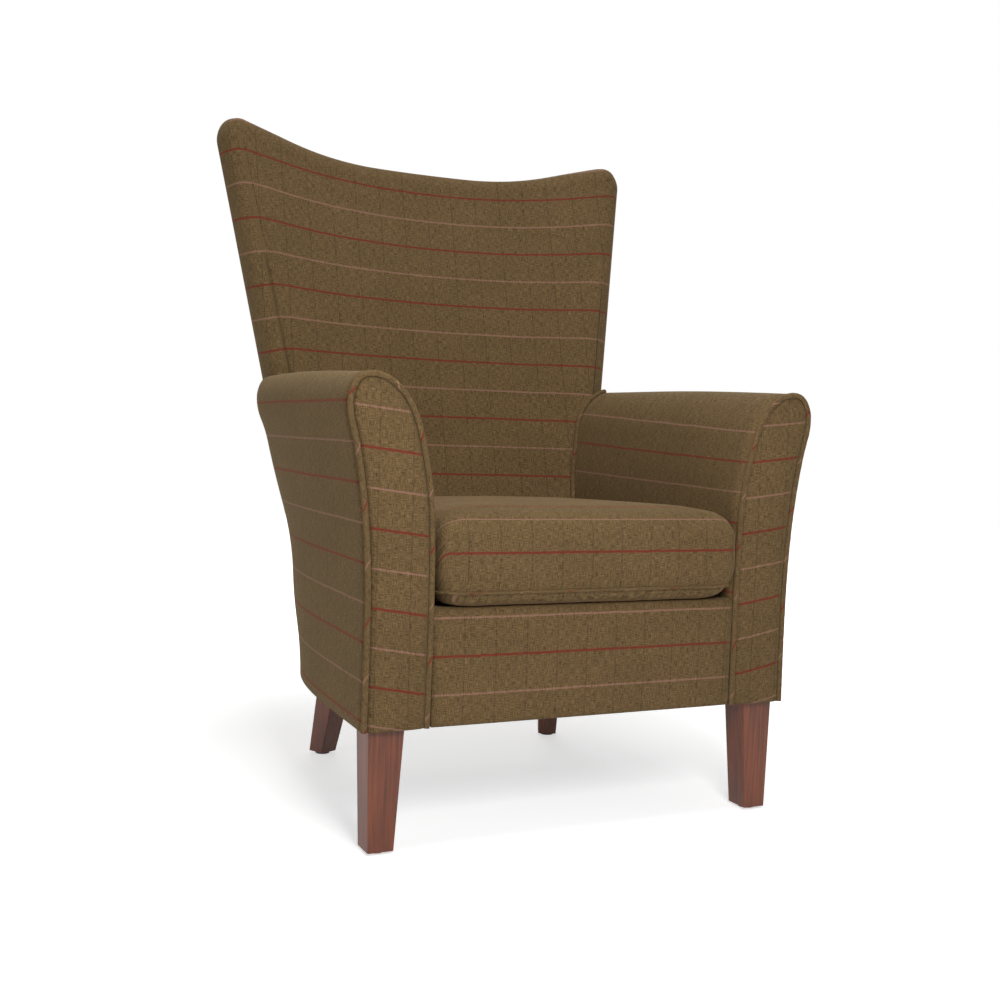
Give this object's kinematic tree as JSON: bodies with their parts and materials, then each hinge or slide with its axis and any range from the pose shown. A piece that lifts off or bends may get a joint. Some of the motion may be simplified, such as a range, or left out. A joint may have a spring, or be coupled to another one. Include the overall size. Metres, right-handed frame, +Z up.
{
  "type": "upholstered fireside armchair",
  "caption": "High-backed upholstered fireside armchair with rolled padded arms, a loose zipped seat cushion on a sprung deck, piped facings and tapered wooden legs.",
  "frame": {"origin": "on the floor, under the middle of the chair's overall depth and width", "axes": "+Z up, +X to the sitter's left (the viewer's right seen from the front), -Y towards the front, +Y towards the back"},
  "size_m": [0.7686, 0.7819, 1.0786],
  "materials": {
    "tweed": "heathered brown wool tweed with a fine red and pink overcheck",
    "piping": "self-fabric piping over cord",
    "foam": "upholstery foam and wadding",
    "fibreboard": "3 mm hardboard panel",
    "frame_beech": "plain sawn beech",
    "stained_wood": "mahogany-brown stained hardwood, satin lacquer",
    "glide_plastic": "nylon furniture glide",
    "spring_steel": "drawn spring steel",
    "zip_metal": "die-cast zip slider",
    "zip_nylon": "woven zip tape with nylon coil",
    "webbing": "elasticated upholstery webbing",
    "felt": "grey needled felt insulator",
    "black_cloth": "black bottom cloth",
    "deck_cloth": "plain brown platform cloth"
  },
  "bodies": {
    "chair": {"arm_foam_left": "foam", "arm_foam_right": "foam", "arm_tack_rail_left": "frame_beech", "arm_tack_rail_right": "frame_beech", "arm_top_rail_left": "frame_beech", "arm_top_rail_right": "frame_beech", "back_arm_piping_left": "piping", "back_arm_piping_right": "piping", "back_foam": "foam", "back_stay_rail": "frame_beech", "back_top_rail": "frame_beech", "back_upright_left": "frame_beech", "back_upright_right": "frame_beech", "back_webbing": "webbing", "corner_blocks": "frame_beech", "deck_cover": "deck_cloth", "deck_pad": "foam", "dust_cover": "black_cloth", "facing_cover_left": "tweed", "facing_cover_right": "tweed", "facing_pad_left": "foam", "facing_pad_right": "foam", "facing_piping_left": "piping", "facing_piping_right": "piping", "front_border_cover": "tweed", "front_border_pad": "foam", "front_leg_left": "stained_wood", "front_leg_right": "stained_wood", "front_post_left": "frame_beech", "front_post_right": "frame_beech", "front_rail": "frame_beech", "inside_arm_cover_left": "tweed", "inside_arm_cover_right": "tweed", "inside_back_cover": "tweed", "leg_bolts": "spring_steel", "leg_glides": "glide_plastic", "outside_arm_cover_left": "tweed", "outside_arm_cover_right": "tweed", "outside_arm_panel_left": "fibreboard", "outside_arm_panel_right": "fibreboard", "outside_back_cover": "tweed", "outside_back_panel": "fibreboard", "rear_leg_left": "stained_wood", "rear_leg_right": "stained_wood", "seat_back_rail": "frame_beech", "seat_springs": "spring_steel", "side_rail_left": "frame_beech", "side_rail_right": "frame_beech", "spring_clips": "spring_steel", "spring_felt": "felt"},
    "seat_cushion": {"cushion_cover": "tweed", "cushion_foam": "foam", "cushion_welt": "piping", "zip_coil": "zip_nylon", "zip_tape": "zip_nylon"},
    "zip_slider": {"zip_slider": "zip_metal"},
    "zip_pull": {"zip_pull": "zip_metal"}
  },
  "joints": [
    {"name": "cushion_lift", "type": "slide", "parent": "chair", "child": "seat_cushion", "axis": [0, 0, 1], "range_m": [0, 0.33]},
    {"name": "zip_run", "type": "hinge", "parent": "seat_cushion", "child": "zip_slider", "pos_m": [0, -0.69998, 0.40268], "axis": [0, 0.0297, 0.9996], "range_deg": [-24.54, 0]},
    {"name": "pull_swing", "type": "hinge", "parent": "zip_slider", "child": "zip_pull", "pos_m": [-0.17579, 0.10797, 0.3787], "axis": [0, 0.0297, 0.9996], "range_deg": [-50, 0]}
  ]
}
